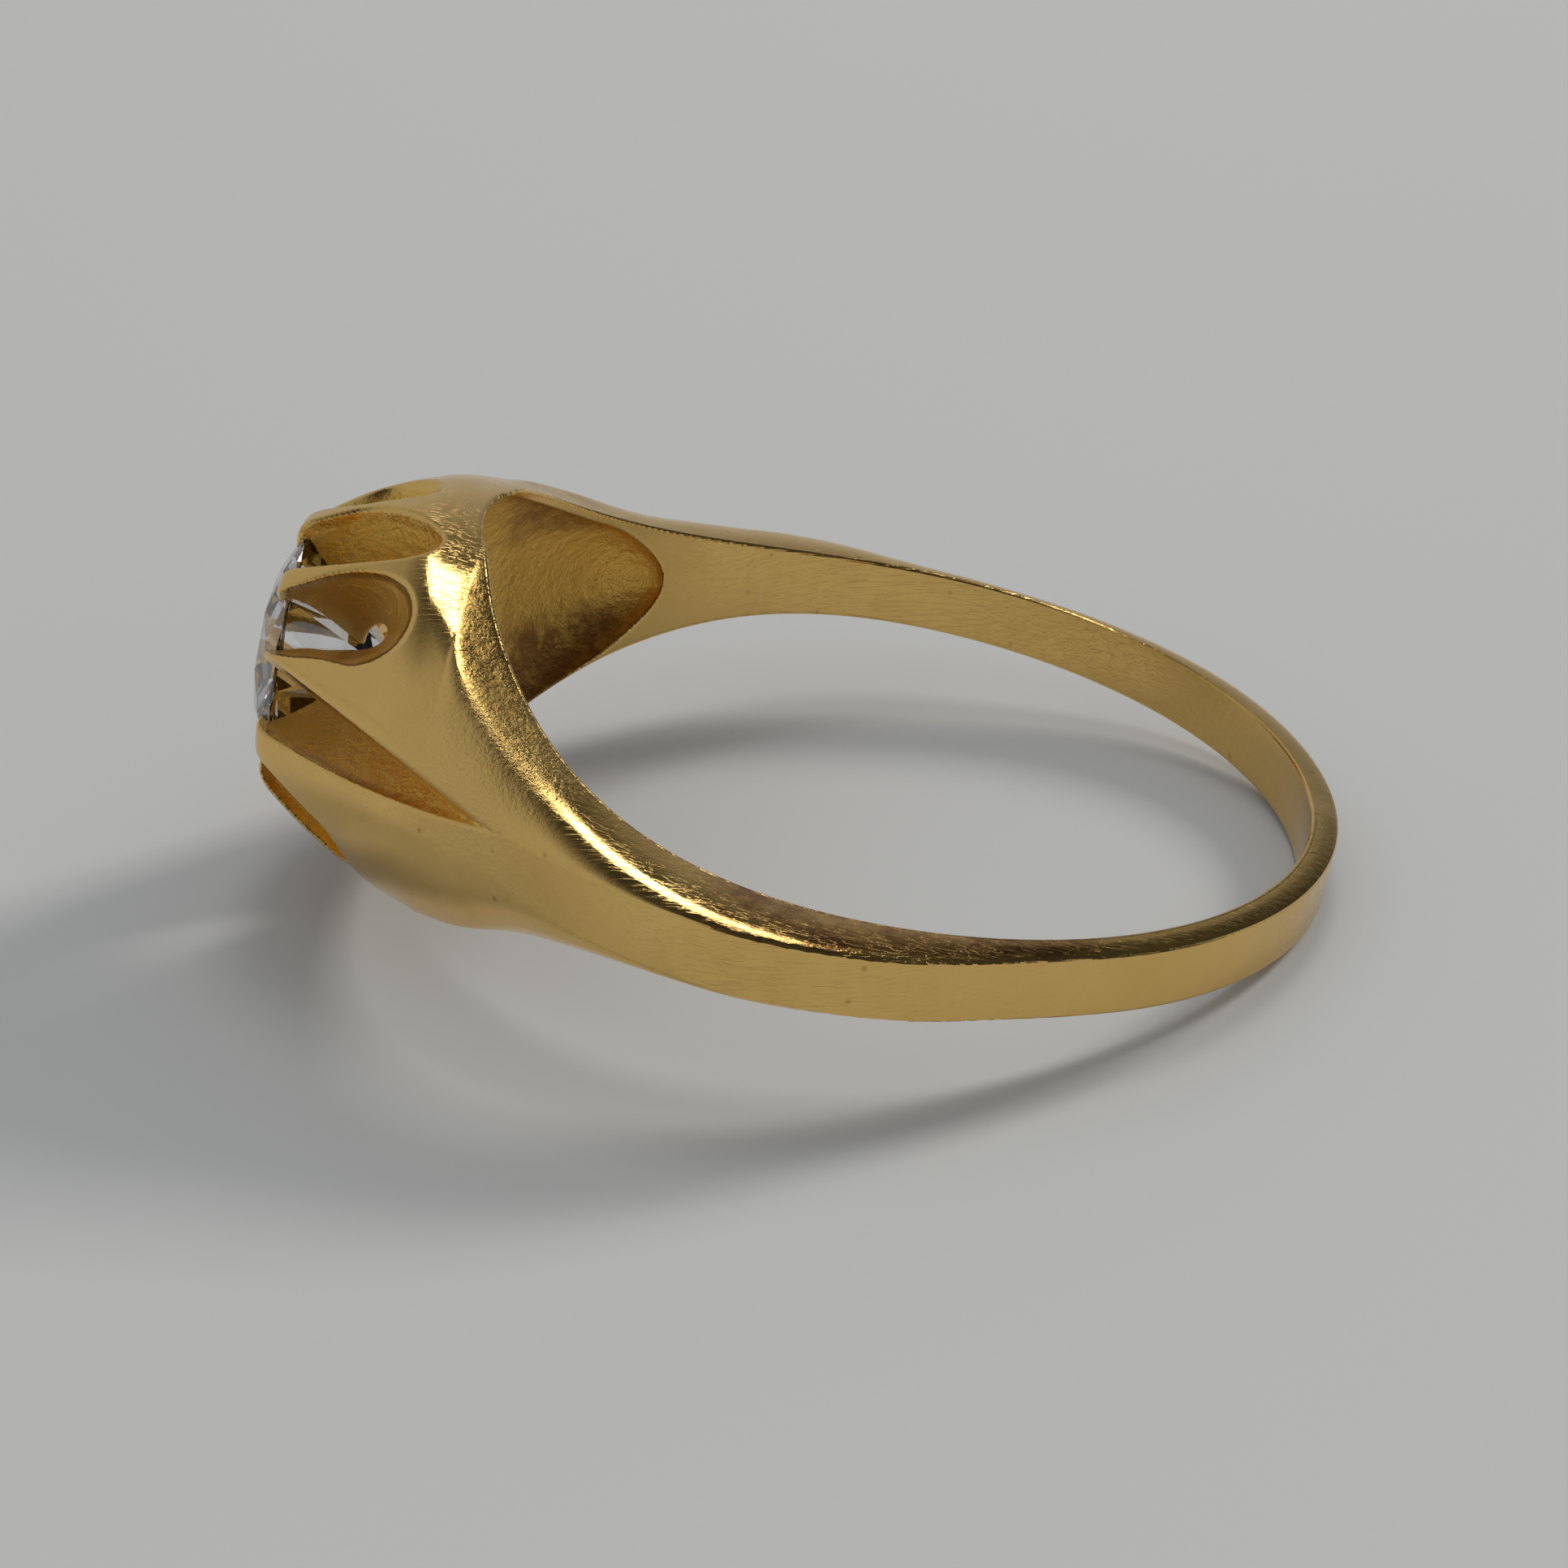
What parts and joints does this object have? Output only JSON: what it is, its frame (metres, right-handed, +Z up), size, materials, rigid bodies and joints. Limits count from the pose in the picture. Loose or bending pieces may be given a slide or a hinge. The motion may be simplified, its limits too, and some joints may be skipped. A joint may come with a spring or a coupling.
{
  "type": "engagement ring",
  "caption": "Gold solitaire engagement ring: a tapering shank rises into a hollow domed head whose claws hold a round brilliant-cut stone.",
  "frame": {"origin": "on the table plane, under the centre of the lying ring's bounding box", "axes": "+Z up from the table; +X from the stone towards the back of the shank; +Y across the ring. The ring lies tipped, stone raised, on its belly and the back of the shank."},
  "size_m": [0.0218, 0.0194, 0.0081],
  "materials": {
    "gold": "polished yellow gold, lightly worn and finely scratched",
    "solder": "polished gold solder, a little paler than the ring",
    "stone": "colourless, faceted and polished"
  },
  "bodies": {
    "root": {"head": "gold", "shank": "gold", "solder_seam_near": "solder", "solder_seam_far": "solder", "stone": "stone"}
  },
  "joints": []
}
